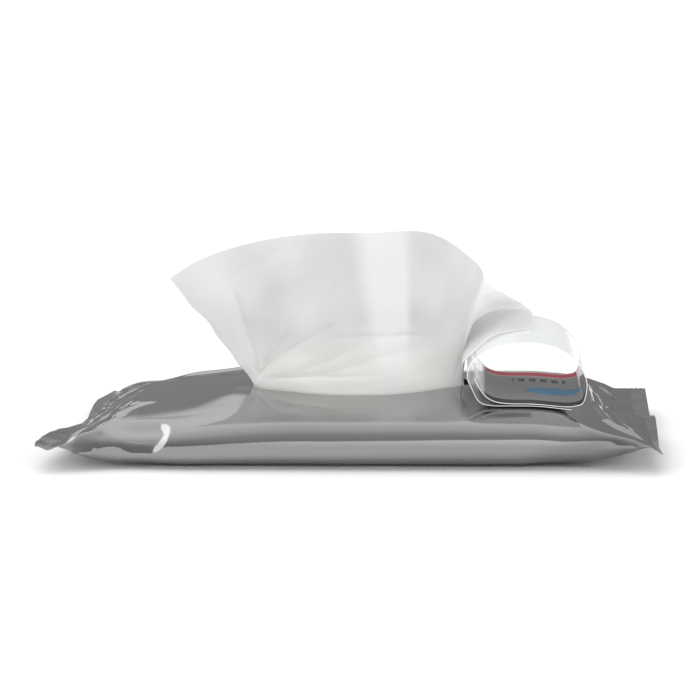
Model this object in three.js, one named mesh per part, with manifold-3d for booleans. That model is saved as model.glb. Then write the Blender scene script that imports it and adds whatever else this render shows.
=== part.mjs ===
// A soft pack of moist wipes: a flow-wrapped film pouch with a die-cut mouth in its top,
// the folded wipes inside it, the top wipe standing out of the mouth, and the clear
// adhesive label that closes the mouth, peeled back and rolled into a loop.
// Millimetres, +Z up. X runs along the pack, from crimped end to crimped end, and -Y is
// the front. The origin is on the table, under the middle of the pack.

import * as THREE from 'three';
import { mergeVertices } from 'three/addons/utils/BufferGeometryUtils.js';
import Module from 'manifold-3d';

const wasm = await Module();
wasm.setup();

// ---------------------------------------------------------------- driving dimensions

const FILM = 0.8;                 // wall of the pouch
const GAP = 0.3;                  // air between pieces that touch

const HALF_WIDTH = 55;            // pouch, half its depth front to back
const FULL_HEIGHT = 22.5;         // pouch, at its middle
const LEFT_HEIGHT = 17.5;         // pouch, where the left end starts to close
const RIGHT_HEIGHT = 20.5;        // pouch, where the right end starts to close
const TOP_POWER = 3.2;            // roundness of the pouch's section: 2 is an ellipse, more is boxier
const BASE_POWER = 3.5;           // the same for its lower half...
const BASE_SAG = 1.5;             // ...which the table presses flat by this much
const BODY_END = 94;              // the section starts to flatten here, both ways along X
const SEAL_START = 109;           // the crimped seals run from here...
const SEAL_END = 121;             // ...to here
const SEAL_LIFT = 9.5;            // height of the crimped seals above the table
const SEAL_THICKNESS = 1.6;

const FIN_WIDTH = 12;             // lengthwise seal, folded flat against the underside
const FIN_EDGE = -42;             // its free edge
const FIN_GROOVE = 0.35;          // width and depth of the lines that mark it

const MOUTH = { x: 1.2, halfLength: 45, halfWidth: 17, power: 2.3 };

const STACK = { halfLength: 92, halfWidth: 47, bottom: FILM + GAP, belowTop: 6, corner: 7 };

const WIPE_THICKNESS = 0.5;
const WIPE_FLAP_BACK = 42;        // the hidden part of the top wipe reaches back to here...
const WIPE_FLAP_FRONT = -42;      // ...is folded there, and lies forward to here...
const WIPE_FLAP_HALF = 88;        // ...and this far to each side
const WIPE_FOLD_RISE = 0.9;       // between the middles of its two hidden layers

const LABEL_THICKNESS = 0.5;
const LABEL_HALF_WIDTH = 31;
const LABEL_Y = -6;               // its middle line
const LABEL_SKEW = 2.5;           // its loop is turned a little: the back edge is this much further left

// ---------------------------------------------------------------- small helpers

const clamp = THREE.MathUtils.clamp;
const lerp = THREE.MathUtils.lerp;
const smooth = (x, low, high) => THREE.MathUtils.smoothstep(x, low, high);

// Every vertex of a geometry is moved by place(vertex); shared corners become one vertex.
function reshape(geometry, place) {
  geometry.deleteAttribute('normal');
  geometry.deleteAttribute('uv');
  const merged = mergeVertices(geometry, 1e-6);
  const position = merged.attributes.position;
  const vertex = new THREE.Vector3();
  for (let i = 0; i < position.count; i++) {
    vertex.fromBufferAttribute(position, i);
    place(vertex);
    position.setXYZ(i, vertex.x, vertex.y, vertex.z);
  }
  return merged;
}

function toSolid(geometry) {
  return new wasm.Manifold(new wasm.Mesh({
    numProp: 3,
    vertProperties: new Float32Array(geometry.attributes.position.array),
    triVerts: new Uint32Array(geometry.index.array),
  }));
}

function fromSolid(solid) {
  const mesh = solid.getMesh();
  const geometry = new THREE.BufferGeometry();
  geometry.setAttribute('position', new THREE.BufferAttribute(mesh.vertProperties, 3));
  geometry.setIndex(new THREE.BufferAttribute(mesh.triVerts, 1));
  return geometry;
}

// ---------------------------------------------------------------- the pouch's shape

// Height of the pouch along its length: it is thinner towards the left.
function pouchHeight(x) {
  const leftward = lerp(LEFT_HEIGHT, FULL_HEIGHT, smooth(x, -BODY_END, -15));
  return lerp(leftward, RIGHT_HEIGHT, smooth(x, 70, BODY_END));
}

// A closed section, as [y, z] points evenly spaced along its outline, from the middle of
// the top to the front, under, and back up behind.
function evenlySpaced(outline, count) {
  const closed = new THREE.CurvePath();
  outline.forEach((point, i) => {
    const next = outline[(i + 1) % outline.length];
    closed.add(new THREE.LineCurve(new THREE.Vector2(...point), new THREE.Vector2(...next)));
  });
  return Array.from({ length: count }, (_, i) => closed.getPoint(i / count));
}

const signedPower = (value, power) => Math.sign(value) * Math.abs(value) ** (2 / power);

// Height of the pouch's top panel over a point of the plan.
function topSurface(x, y) {
  const half = pouchHeight(x) / 2;
  const across = Math.min(Math.abs(y) / HALF_WIDTH, 1);
  return half + half * (1 - across ** TOP_POWER) ** (1 / TOP_POWER);
}

// The body's section: a superellipse pressed flat by the table, less an inset all round.
function bodySection(height, inset, count) {
  const samples = 6 * count;
  const outline = Array.from({ length: samples }, (_, i) => {
    const angle = Math.PI / 2 + (i / samples) * 2 * Math.PI;
    const below = Math.sin(angle) < 0;
    const power = below ? BASE_POWER : TOP_POWER;
    const half = height / 2 - inset + (below ? BASE_SAG : 0);
    const y = (HALF_WIDTH - inset) * signedPower(Math.cos(angle), power);
    const z = height / 2 + half * signedPower(Math.sin(angle), power);
    return [y, Math.max(z, inset)];
  });
  return evenlySpaced(outline, count);
}

// The seal's section: the same outline pressed flat, so that its length round is kept.
function sealSection(halfLength, thickness, count) {
  const half = thickness / 2;
  const outline = [[0, half], [-halfLength, half], [-halfLength, -half], [halfLength, -half], [halfLength, half]];
  return evenlySpaced(outline.map(([y, z]) => [y, SEAL_LIFT + z]), count);
}

const bodyOutline = (section) => section.reduce(
  (sum, point, i) => sum + point.distanceTo(section[(i + 1) % section.length]), 0);

const SEAL_HALF_LENGTH = bodyOutline(bodySection(LEFT_HEIGHT, 0, 80)) / 4;

// The pouch as a solid bar: a capped cylinder, lofted through its sections.
function pouchSolid({ inset, sealStart, sealEnd, sealHalfLength, sealThickness }) {
  const around = 56;
  const stations = [-sealEnd, -sealStart, -102, -BODY_END, -76, -56, -36, -15, 28,
    70, 82, BODY_END, 102, sealStart, sealEnd];
  const along = stations.length - 1;
  const cylinder = new THREE.CylinderGeometry(1, 1, along, around, along);
  const flat = sealSection(sealHalfLength, sealThickness, around);
  const geometry = reshape(cylinder, (vertex) => {
    const x = stations[Math.round(along / 2 - vertex.y)];
    const closing = clamp((Math.abs(x) - BODY_END) / (sealStart - BODY_END), 0, 1);
    const section = bodySection(pouchHeight(x), inset, around);
    const angle = Math.atan2(-vertex.x, vertex.z);
    const step = ((Math.round((angle / (2 * Math.PI)) * around) % around) + around) % around;
    if (Math.hypot(vertex.x, vertex.z) < 0.5) {
      vertex.set(x, 0, SEAL_LIFT);
      return;
    }
    const ease = closing * closing * (1.6 - 0.6 * closing);
    vertex.set(x, lerp(section[step].x, flat[step].x, closing), lerp(section[step].y, flat[step].y, ease));
  });
  return toSolid(geometry);
}

// The mouth's outline in the top panel, as a cutter that passes through the top wall only.
function mouthCutter() {
  const points = 48;
  const outline = new THREE.Shape(Array.from({ length: points }, (_, i) => {
    const angle = (i / points) * 2 * Math.PI;
    return new THREE.Vector2(MOUTH.x + MOUTH.halfLength * signedPower(Math.cos(angle), MOUTH.power),
      MOUTH.halfWidth * signedPower(Math.sin(angle), MOUTH.power));
  }));
  const prism = new THREE.ExtrudeGeometry(outline, { depth: FULL_HEIGHT, bevelEnabled: false });
  prism.translate(0, 0, FULL_HEIGHT * 0.7);
  return toSolid(reshape(prism, () => {}));
}

function finGroove(y) {
  const groove = new THREE.BoxGeometry(2 * BODY_END, FIN_GROOVE, 2 * FIN_GROOVE);
  groove.translate(0, y, 0);
  return toSolid(reshape(groove, () => {}));
}

function pouchFilm() {
  const outside = pouchSolid({
    inset: 0,
    sealStart: SEAL_START,
    sealEnd: SEAL_END,
    sealHalfLength: SEAL_HALF_LENGTH,
    sealThickness: SEAL_THICKNESS,
  });
  const inside = pouchSolid({
    inset: FILM,
    sealStart: SEAL_START - 2,
    sealEnd: SEAL_START - 1,
    sealHalfLength: SEAL_HALF_LENGTH - 2,
    sealThickness: SEAL_THICKNESS / 4,
  });
  const shell = outside.subtract(inside).subtract(mouthCutter());
  return fromSolid(shell.subtract(finGroove(FIN_EDGE)).subtract(finGroove(FIN_EDGE + FIN_WIDTH)));
}

// ---------------------------------------------------------------- the wipes

const stackTop = (x) => pouchHeight(x) - STACK.belowTop;

// The folded wipes: a long block with rounded long edges, where each wipe is folded.
function wipeStack() {
  const block = new THREE.BoxGeometry(1, 1, 1, 10, 2, 8);
  return reshape(block, (vertex) => {
    const x = vertex.x * 2 * STACK.halfLength;
    const middle = (stackTop(x) + STACK.bottom) / 2;
    const half = (stackTop(x) - STACK.bottom) / 2;
    const up = vertex.z * 2;
    const roundOff = STACK.corner * (1 - Math.sqrt(1 - 0.96 * up * up));
    const y = vertex.y * 2 * (STACK.halfWidth - roundOff);
    vertex.set(x, y, middle + half * up);
  });
}

// The part of the top wipe that stands out of the mouth, as upright guide lines from its
// left edge to its right one. Each has five points, from the mouth to the free top edge.
const WIPE_GUIDES = [
  [[-42.5, -1, 21.8], [-49.5, -2, 34], [-58, -3, 46], [-67.5, -3, 57], [-76.5, -1, 68.3]],
  [[-37, -7.6, 22.1], [-41, -11, 38], [-48, -12, 53], [-55, -10, 66], [-62, -6, 77.5]],
  [[-24, -12.8, 22.5], [-27, -16, 38], [-31, -17, 55], [-36, -14, 70], [-42, -9, 84]],
  [[-6, -15.2, 22.5], [-7, -18, 38], [-10, -17, 55], [-14, -13, 71], [-18, -9, 87.6]],
  [[12, -15, 22.5], [12, -19, 38], [10, -17, 55], [8, -13, 71], [6, -9, 88]],
  [[27, -12.9, 22.5], [28, -16, 38], [29, -15, 55], [30, -12, 71], [31, -10, 87.8]],
  [[36.5, -9.3, 22.5], [37.5, -10, 36], [41, -10, 50], [45, -9, 64], [49, -8, 75.5]],
  [[41.1, -6.5, 22.5], [41.6, -4, 33], [44.6, -2, 44], [48.3, 0, 56], [52.6, 2, 65.9]],
  [[42.2, -5.2, 22.5], [42, 1, 34], [45.3, 9, 44.5], [51.5, 14, 53], [60.5, 14, 58.4]],
  [[42.8, -4, 22.5], [42, 8, 33], [44.6, 19, 42], [55, 24, 49], [70.5, 26, 50.4]],
  [[43.4, -2.6, 22.5], [43.6, -18, 33], [46.8, -29, 41.5], [56.5, -18, 48.3], [72, -10, 49.9]],
].map((points) => new THREE.CatmullRomCurve3(points.map((point) => new THREE.Vector3(...point))));

// Rows of the top wipe: from its hidden edge (-2), which lies on the stack, round the fold
// at the back (-1), through the mouth (0), to the free top edge (1).
const WIPE_ROWS = [-2, -1.7, -1.4, -1.15, -1.06, -1.048, -1.036, -1.024, -1.012, -1, -0.9, -0.75, -0.6,
  -0.45, -0.3, -0.2, -0.12, -0.08, -0.04, 0, 0.08, 0.16, 0.24, 0.32, 0.4, 0.48, 0.56, 0.64, 0.72,
  0.8, 0.87, 0.94, 1];

function wipeRow(v) {
  const at = clamp(v, 0, 1) * (WIPE_ROWS.length - 1);
  const row = Math.min(Math.floor(at), WIPE_ROWS.length - 2);
  return lerp(WIPE_ROWS[row], WIPE_ROWS[row + 1], at - row);
}

// The top wipe is a sheet over (across, up): across runs from its left edge to its right.
function wipePoint(across, up) {
  const row = WIPE_GUIDES.map((guide) => guide.getPoint(Math.max(up, 0)));
  const point = new THREE.CatmullRomCurve3(row).getPoint(across);
  if (up >= 0) {
    return point;
  }
  const down = clamp(-up / 0.12, 0, 1);
  const back = clamp((-up - 0.08) / 0.92, 0, 1);
  const x = lerp(point.x, lerp(-WIPE_FLAP_HALF, WIPE_FLAP_HALF, across), back);
  const y = lerp(point.y + 1.5 * down, WIPE_FLAP_BACK, back);
  const lower = stackTop(x) + GAP + WIPE_THICKNESS / 2;
  if (up >= -1) {
    return new THREE.Vector3(x, y, lerp(point.z, lower + WIPE_FOLD_RISE, smooth(down, 0, 1)));
  }
  const turn = clamp((-up - 1) / 0.06, 0, 1) * Math.PI;
  const forward = clamp((-up - 1.06) / 0.94, 0, 1);
  const radius = WIPE_FOLD_RISE / 2;
  return new THREE.Vector3(x, lerp(y, WIPE_FLAP_FRONT, forward) + radius * Math.sin(turn),
    lower + radius * (1 + Math.cos(turn)));
}

// ---------------------------------------------------------------- the label

// The label's path seen from the front, from the end that is still stuck down on the
// right, left along the pouch, up and over, down again, and left inside its own loop.
function labelPath() {
  const lie = FULL_HEIGHT + GAP + LABEL_THICKNESS / 2;
  const inner = lie + GAP + LABEL_THICKNESS;
  const corner = (x, z) => new THREE.Vector3(x, 0, z);
  return new THREE.CatmullRomCurve3([
    corner(86, lie), corner(74, lie), corner(63, lie), corner(55, lie + 0.1), corner(50, lie + 1.4),
    corner(47, lie + 6), corner(45, lie + 11.6), corner(47.4, lie + 17.8), corner(54, lie + 22.3),
    corner(63, lie + 24.6), corner(72, lie + 24.7), corner(81, lie + 22.4), corner(88.5, lie + 17),
    corner(92, lie + 9.6), corner(91, lie + 3.4), corner(87, inner + 0.7), corner(81, inner), corner(69, inner),
    corner(59, inner + 0.3), corner(53.5, inner + 2), corner(50, inner + 5.5), corner(48, inner + 9.5),
  ], false, 'centripetal');
}

// The layers that lie on the pouch follow its crown; the loop above them is straight.
function labelPoint(curve, along, across) {
  const point = curve.getPointAt(along);
  point.x += lerp(LABEL_SKEW / 2, -LABEL_SKEW / 2, across);
  point.y = LABEL_Y + lerp(-LABEL_HALF_WIDTH, LABEL_HALF_WIDTH, across);
  const settle = 1 - smooth(point.z, FULL_HEIGHT + 2, FULL_HEIGHT + 9);
  point.z -= settle * (FULL_HEIGHT - topSurface(point.x, point.y));
  return point;
}

// ---------------------------------------------------------------- sheets with a thickness

// A flat box bent so that its middle plane follows surface(u, v), both from 0 to 1.
function sheet(surface, thickness, alongSteps, acrossSteps) {
  const box = new THREE.BoxGeometry(1, 1, 1, alongSteps, acrossSteps, 1);
  const small = 1e-3;
  return reshape(box, (vertex) => {
    const u = vertex.x + 0.5;
    const v = vertex.y + 0.5;
    const uLow = Math.max(u - small, 0);
    const uHigh = Math.min(u + small, 1);
    const vLow = Math.max(v - small, 0);
    const vHigh = Math.min(v + small, 1);
    const alongU = surface(uHigh, v).sub(surface(uLow, v));
    const alongV = surface(u, vHigh).sub(surface(u, vLow));
    const normal = alongU.cross(alongV).normalize();
    vertex.copy(surface(u, v).addScaledVector(normal, vertex.z * thickness));
  });
}

// ---------------------------------------------------------------- materials and the group

const MATERIALS = {
  film: new THREE.MeshStandardMaterial({ color: 0xa9a9ab, roughness: 0.3, metalness: 0.9 }),
  stack: new THREE.MeshStandardMaterial({ color: 0xf1f0ec, roughness: 0.9, metalness: 0 }),
  wipe: new THREE.MeshStandardMaterial({ color: 0xe9e9e6, roughness: 0.9, metalness: 0 }),
  label: new THREE.MeshStandardMaterial({
    color: 0xc9cfd6, roughness: 0.15, metalness: 0, transparent: true, opacity: 0.55,
  }),
};

const pack = new THREE.Group();

function add(name, geometry, material) {
  const mesh = new THREE.Mesh(geometry, material);
  mesh.name = name;
  pack.add(mesh);
}

const loop = labelPath();

add('pouch_film', pouchFilm(), MATERIALS.film);
add('wipe_stack', wipeStack(), MATERIALS.stack);
add('pulled_wipe', sheet((u, v) => wipePoint(u, wipeRow(v)), WIPE_THICKNESS, 20, WIPE_ROWS.length - 1), MATERIALS.wipe);
add('reseal_label', sheet((u, v) => labelPoint(loop, u, v), LABEL_THICKNESS, 60, 6), MATERIALS.label);

export default pack;
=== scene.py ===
# %% [markdown]
# # A soft pack of moist wipes
#
# This lesson builds the looks of a flow-wrapped pack of wet wipes: a satin silver film pouch
# with crimped ends, a wipe pulled up out of its oval mouth, and the clear label that closes
# the mouth, peeled back and rolled into a loop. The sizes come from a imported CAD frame, and
# each soft CAD solid is replaced by a finer piece that fills the same space.

# %% Load the frame
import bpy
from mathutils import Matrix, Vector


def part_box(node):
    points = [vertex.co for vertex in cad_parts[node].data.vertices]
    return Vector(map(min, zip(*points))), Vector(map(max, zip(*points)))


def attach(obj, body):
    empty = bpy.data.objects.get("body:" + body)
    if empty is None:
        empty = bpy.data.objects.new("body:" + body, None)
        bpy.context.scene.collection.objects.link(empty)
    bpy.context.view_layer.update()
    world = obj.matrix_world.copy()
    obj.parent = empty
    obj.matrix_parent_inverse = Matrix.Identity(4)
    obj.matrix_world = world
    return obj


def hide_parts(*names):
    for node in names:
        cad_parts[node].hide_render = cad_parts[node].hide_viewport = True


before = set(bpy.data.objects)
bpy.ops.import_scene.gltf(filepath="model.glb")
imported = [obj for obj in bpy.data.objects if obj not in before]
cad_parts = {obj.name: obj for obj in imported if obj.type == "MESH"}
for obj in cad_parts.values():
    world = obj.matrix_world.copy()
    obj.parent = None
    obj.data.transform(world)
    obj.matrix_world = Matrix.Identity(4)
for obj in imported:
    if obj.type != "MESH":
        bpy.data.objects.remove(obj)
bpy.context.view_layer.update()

import math

import bpy
import numpy as np
from mathutils import Quaternion, Vector, noise

print("nodes in the frame:", sorted(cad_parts))

# %% [markdown]
# Lengths below are written in millimetres, as one would measure the pack with a ruler, and
# turned into metres once, when a mesh gets its final shape. A limp thing has few straight
# lines, so its shape is put together from soft steps: `smooth` eases from 0 to 1, `plateau`
# rises and falls again, and `bell` is a hump.

# %% Units and small maths helpers
MM = 0.001


def smooth(value, low, high):
    """0 below low, 1 above high, and an even ease between them."""
    t = np.clip((np.asarray(value, float) - low) / (high - low), 0, 1)
    return t * t * (3 - 2 * t)


def plateau(value, low, full, falls, gone):
    """Rises from low to full, stays at 1, and sinks back to 0 between falls and gone."""
    return smooth(value, low, full) * (1 - smooth(value, falls, gone))


def mix(a, b, t):
    return a + (b - a) * t


def bell(value, centre, width):
    """A soft hump of height 1."""
    return np.exp(-(((np.asarray(value, float) - centre) / width) ** 2))


def noise_at(a, b, layer):
    """Soft noise over a plane of places. Each layer is a pattern of its own."""
    return np.array([noise.noise(Vector((p, q, layer))) for p, q in zip(a, b)])


def table_at(table, place):
    """Reads a table of (place, value) points, joined by straight lines."""
    return np.interp(place, *np.array(table, float).T)


def box_mm(node):
    """A CAD node's lowest and highest corner, in millimetres."""
    low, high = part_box(node)
    return np.array(low) / MM, np.array(high) / MM


print("a smooth step, in quarters:", smooth(np.linspace(0, 1, 5), 0, 1))

# %% [markdown]
# ## The camera
#
# The pack is seen from a little to the right of its front and from low above it, through a
# long lens, so the camera stands a metre away. It is turned very slightly on its own axis,
# which levels the pack's front edge.

# %% Place the camera
AZIMUTH = 5.0
ELEVATION = 11.0
ROLL = -1.0
DISTANCE = 1.0
LENS = 125.0
AIM = Vector((-3.3, 0, 38)) * MM


def toward(azimuth, elevation):
    """The direction of a viewer, from the front (-Y) round to the right (+X) and up."""
    a, e = math.radians(azimuth), math.radians(elevation)
    return Vector((math.sin(a) * math.cos(e), -math.cos(a) * math.cos(e), math.sin(e)))


back = toward(AZIMUTH, ELEVATION)
roll = Quaternion((0, 0, 1), math.radians(ROLL))
bpy.ops.object.camera_add(location=AIM + back * DISTANCE)
camera = bpy.context.object
camera.rotation_mode = "QUATERNION"
camera.rotation_quaternion = back.to_track_quat("Z", "Y") @ roll
camera.data.lens = LENS
camera.data.clip_start = 0.05
bpy.context.scene.camera = camera
print("camera at", camera.location)

# %% [markdown]
# ## Operators on one object at a time
#
# An operator acts on whatever is selected, and the frame's nodes arrive selected. So every
# step below starts from an empty selection and picks one object. Film, wipe and label are
# all thin sheets, so each of them starts as a flat grid, whose points are then moved.

# %% Selection, modifier and grid helpers


def choose(piece):
    bpy.ops.object.select_all(action="DESELECT")
    piece.select_set(True)
    bpy.context.view_layer.objects.active = piece


def apply_modifier(piece, kind, **settings):
    choose(piece)
    modifier = piece.modifiers.new(kind.title(), kind)
    for key, value in settings.items():
        setattr(modifier, key, value)
    bpy.ops.object.modifier_apply(modifier=modifier.name)


def points_of(piece):
    flat = np.empty(len(piece.data.vertices) * 3)
    piece.data.vertices.foreach_get("co", flat)
    return flat.reshape(-1, 3)


def move_points(piece, points):
    piece.data.vertices.foreach_set("co", np.asarray(points, float).ravel())
    piece.data.update()


def grid(name, columns, rows):
    """A flat unit sheet of columns by rows faces. Its UV map keeps each point's place in it."""
    bpy.ops.object.select_all(action="DESELECT")
    bpy.ops.mesh.primitive_grid_add(x_subdivisions=columns, y_subdivisions=rows, size=1)
    piece = bpy.context.object
    piece.name = piece.data.name = name
    return piece


def shares(piece):
    """How far along and across its new grid each point is, from 0 to 1."""
    flat = points_of(piece)
    return flat[:, 0] + 0.5, flat[:, 1] + 0.5


def pick(values, share):
    """The one of the values that belongs to a point's row or column of a grid."""
    return values[np.round(share * (len(values) - 1)).astype(int)]


def shade(piece, material, degrees):
    """Gives a piece its material, and keeps only edges sharper than the angle hard."""
    choose(piece)
    bpy.ops.object.shade_smooth_by_angle(angle=math.radians(degrees))
    piece.data.materials.clear()
    piece.data.materials.append(material)


# %% [markdown]
# ## Writing shader maths as Python
#
# A long chain of Math nodes is hard to read. The first class below wraps a socket, so that
# `1 - mask * 0.3` adds the nodes for us. The second one owns a node tree. Its `node` makes
# any node, and the other methods are short names for the nodes that are used most. Colours
# go through Mix nodes, because a Math node would turn them grey.

# %% A socket that can be used in sums


class Sock:
    """A node's output socket that can be used in sums."""

    def __init__(self, shader, socket):
        self.shader, self.socket = shader, socket

    def _math(self, operation, *values):
        return self.shader.node("ShaderNodeMath", dict(operation=operation), values)

    def __add__(self, other):
        return self._math("ADD", self, other)

    def __sub__(self, other):
        return self._math("SUBTRACT", self, other)

    def __rsub__(self, other):
        return self._math("SUBTRACT", other, self)

    def __mul__(self, other):
        return self._math("MULTIPLY", self, other)

    def __truediv__(self, other):
        return self._math("DIVIDE", self, other)

    __radd__ = __add__
    __rmul__ = __mul__

    def over(self, low, high):
        """0 below low, 1 above high, with an even ease between them."""
        settings = dict(interpolation_type="SMOOTHSTEP", clamp=True)
        return self.shader.node("ShaderNodeMapRange", settings, [self, low, high, 0.0, 1.0])

    def band(self, low, full, falls, gone):
        """Rises from low to full, stays at 1, and sinks back to 0 between falls and gone."""
        return self.over(low, full) * (1 - self.over(falls, gone))


print("sums that work on sockets: a + b, a - b, a * b, a / b and 1 - a")

# %% The nodes of a material or of the world
BUMP_DEPTH = 0.2


def grey(value):
    return (value, value, value, 1.0)


class Shader:
    """A material, or the world, with its nodes."""

    def __init__(self, owner):
        owner.use_nodes = True
        self.tree = owner.node_tree
        self.tree.nodes.clear()

    def node(self, kind, settings=None, inputs=(), output=0):
        """Adds a node: its settings come first, then the values or links of its inputs.

        It gives one output back, by its number or name, or with None a list of them all.
        """
        made = self.tree.nodes.new(kind)
        for key, value in (settings or {}).items():
            if key == "stops":
                self._set_stops(made.color_ramp.elements, value)
            else:
                setattr(made, key, value)
        pairs = inputs.items() if isinstance(inputs, dict) else enumerate(inputs)
        for key, value in pairs:
            if isinstance(value, Sock):
                self.tree.links.new(value.socket, made.inputs[key])
            else:
                made.inputs[key].default_value = value
        if output is None:
            return [Sock(self, socket) for socket in made.outputs]
        return Sock(self, made.outputs[output])

    def _set_stops(self, elements, stops):
        """Fills a colour ramp, which starts with two stops."""
        for _ in stops[2:]:
            elements.new(0.5)
        for element, (place, colour) in zip(elements, stops):
            element.position = place
            element.color = colour

    def coordinates(self, name):
        """Object is the place in metres, UV the piece's own map, Generated the world's ray."""
        return self.node("ShaderNodeTexCoord", output=name)

    def noise(self, place, **inputs):
        return self.node("ShaderNodeTexNoise", None, dict(Vector=place, **inputs))

    def bump(self, height, strength):
        inputs = dict(Strength=strength, Distance=BUMP_DEPTH * MM, Height=height)
        return self.node("ShaderNodeBump", None, inputs)

    def blend(self, a, b, factor):
        """From colour a to colour b."""
        return self.node("ShaderNodeMix", dict(data_type="RGBA"), {6: a, 7: b, 0: factor}, 2)

    def parts(self, vector):
        return self.node("ShaderNodeSeparateXYZ", None, [vector], None)

    def finish(self, shine_through=0.0, **inputs):
        """The surface itself. A thin cloth also lets light shine through from behind."""
        named = {key.replace("_", " "): value for key, value in inputs.items()}
        surface = self.node("ShaderNodeBsdfPrincipled", None, named)
        if shine_through:
            through = self.node("ShaderNodeBsdfTranslucent", None, dict(Color=grey(0.95)))
            surface = self.node("ShaderNodeMixShader", None, [shine_through, surface, through])
        self.node("ShaderNodeOutputMaterial", None, [surface], None)


print("materials before painting:", len(bpy.data.materials))

# %% [markdown]
# ## The film pouch
#
# The real pouch starts as a flat web of film. It is rolled into a tube round the stack of
# wipes, sealed lengthwise underneath, and pinched flat and crimped at both ends. It could be
# modelled as a cushion and pinched afterwards, but then the film would stretch where it
# really folds. So we follow the machine: a flat grid is the web, the mouth is cut in it while
# it is flat, and then a formula rolls it up. The crumples are creases on the flat web, so
# they stay with the film wherever it goes.

# %% Sizes of the pouch
film_low, film_high = box_mm("pouch_film")
HALF_LENGTH, SEAL_HALF, FULL_HEIGHT = film_high
HALF_WIDTH = 55.0
SEAL_START = HALF_LENGTH - 12
BODY_END = HALF_LENGTH - 27
GIRTH = 4 * SEAL_HALF + 4  # the width of the web, a little more than the flat tube needs
SEAL_LIFT = 9.5
FILM_THICKNESS = 0.12
print("pouch, mm:", film_low.round(1), film_high.round(1))

# %% [markdown]
# The web needs a fine grid only where the film is crumpled: at its ends, near the dent at
# the front left, and on the sides. Under the pack and in its calm middle the steps are wide,
# which keeps the mesh small.

# %% The rows and columns of the web
COLUMN_STEPS = [
    # from, to, step
    (-HALF_LENGTH, -88, 0.5), (-88, -60, 0.9), (-60, -34, 1.5), (-34, 36, 3.0),
    (36, 62, 1.5), (62, 84, 2.0), (84, SEAL_START, 0.7), (SEAL_START, HALF_LENGTH, 0.5),
]
ROW_STEPS = [(-GIRTH / 2, -78, 3.4), (-78, 78, 0.95), (78, GIRTH / 2, 3.4)]


def places(table):
    """The places of all the steps along one side of the web."""
    runs = []
    for start, end, step in table:
        count = max(round((end - start) / step), 1)
        runs.append(np.linspace(start, end, count, endpoint=False))
    return np.append(np.concatenate(runs), table[-1][1])


columns_at = places(COLUMN_STEPS)
rows_at = places(ROW_STEPS)
print("web columns:", len(columns_at), "rows:", len(rows_at))

# %% [markdown]
# The body's section is a superellipse, an oval that grows boxier as its power rises, pressed
# flat where it rests. Measuring along its outline tells where a strip of the web ends up.

# %% The section of the pouch
TOP_POWER = 3.2
BASE_POWER = 3.6
BASE_SAG = 1.2
SECTION_SAMPLES = 8192


def unit_section():
    """Half-width and height, from 0 to 1, against the distance round from the top's middle."""
    angle = np.linspace(math.pi / 2, math.pi * 5 / 2, SECTION_SAMPLES)
    c, s = np.cos(angle), np.sin(angle)
    below = s < 0
    power = np.where(below, BASE_POWER, TOP_POWER)
    half = FULL_HEIGHT / 2 + np.where(below, BASE_SAG, 0)
    y = HALF_WIDTH * np.sign(c) * np.abs(c) ** (2 / power)
    z = np.maximum(FULL_HEIGHT / 2 + half * np.sign(s) * np.abs(s) ** (2 / power), 0)
    travelled = np.concatenate([[0], np.cumsum(np.hypot(np.diff(y), np.diff(z)))])
    print("round the section, mm:", travelled[-1].round(1), "web width:", GIRTH.round(1))
    return travelled / travelled[-1], y / HALF_WIDTH, z / FULL_HEIGHT


round_at, round_y, round_z = unit_section()

# %% [markdown]
# The pouch isn't equally high all along: its left end has sunk, and the pulled wipe holds up
# the two ends of the mouth. Both are heights that ease from one value to the next.

# %% Heights along the pouch
LEFT_HEIGHT = FULL_HEIGHT - 5
RIGHT_HEIGHT = FULL_HEIGHT - 2
MOUTH_LIFT = 2.3


def pouch_height(x):
    height = mix(LEFT_HEIGHT, FULL_HEIGHT, smooth(x, -BODY_END, -15))
    return mix(height, RIGHT_HEIGHT, smooth(x, 70, BODY_END))


def mouth_lift(x, y):
    """The pulled wipe holds the two ends of the mouth up."""
    left = plateau(-x, 6, 42, 46, 74)
    right = plateau(x, 8, 41, 42, 52)
    return MOUTH_LIFT * (left + right) * bell(y, 2, 34)


print("height at the left, middle and right:", pouch_height(np.array([-90, 0, 90])).round(1))

# %% [markdown]
# The jaws of the sealing machine are straight, but a soft pack pulls its end seals out of
# line as it is handled. Four outlines say how far the inner and the outer edge of each seal
# stand out, and the film next to a seal follows its inner edge.

# %% The outlines of the end seals
# Each is a table of (Y, how far out along X).
LEFT_INNER = [(-60, -5.5), (-54, -5.5), (-24, -5), (-5, -3.5), (14, -4), (60, -4)]
LEFT_OUTER = [(-60, -2.5), (-50, -4), (-28, -2), (-8, 2), (-3, 4.5), (16, 4), (40, 1.5), (60, 1)]
RIGHT_INNER = [(-60, 9.5), (-30, 6.5), (-4, 4.5), (1, 0), (60, -1)]
RIGHT_OUTER = [(-60, 1.5), (-52, 0), (-4, 0.5), (1, -1.5), (60, -1.5)]
SLIDE_START = 84


def seal_slide(x, y):
    """How far the outlines shift the film along X."""
    inner = np.where(x < 0, table_at(LEFT_INNER, y), table_at(RIGHT_INNER, y))
    outer = np.where(x < 0, table_at(LEFT_OUTER, y), table_at(RIGHT_OUTER, y))
    beyond = np.clip((np.abs(x) - SEAL_START) / (HALF_LENGTH - SEAL_START), 0, 1)
    return mix(inner, outer, beyond) * smooth(np.abs(x), SLIDE_START, SEAL_START)


print("slide of the left seal at its front, mm:", seal_slide(-HALF_LENGTH, -50).round(1))

# %% [markdown]
# Towards an end the top slopes down to the seal and the base slopes up to it, like two ramps
# that cut the body off. Of ramp and body the film follows whichever lies further in, and it
# bends softly where they meet. Under the folded corners the front wall leans in.

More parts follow.
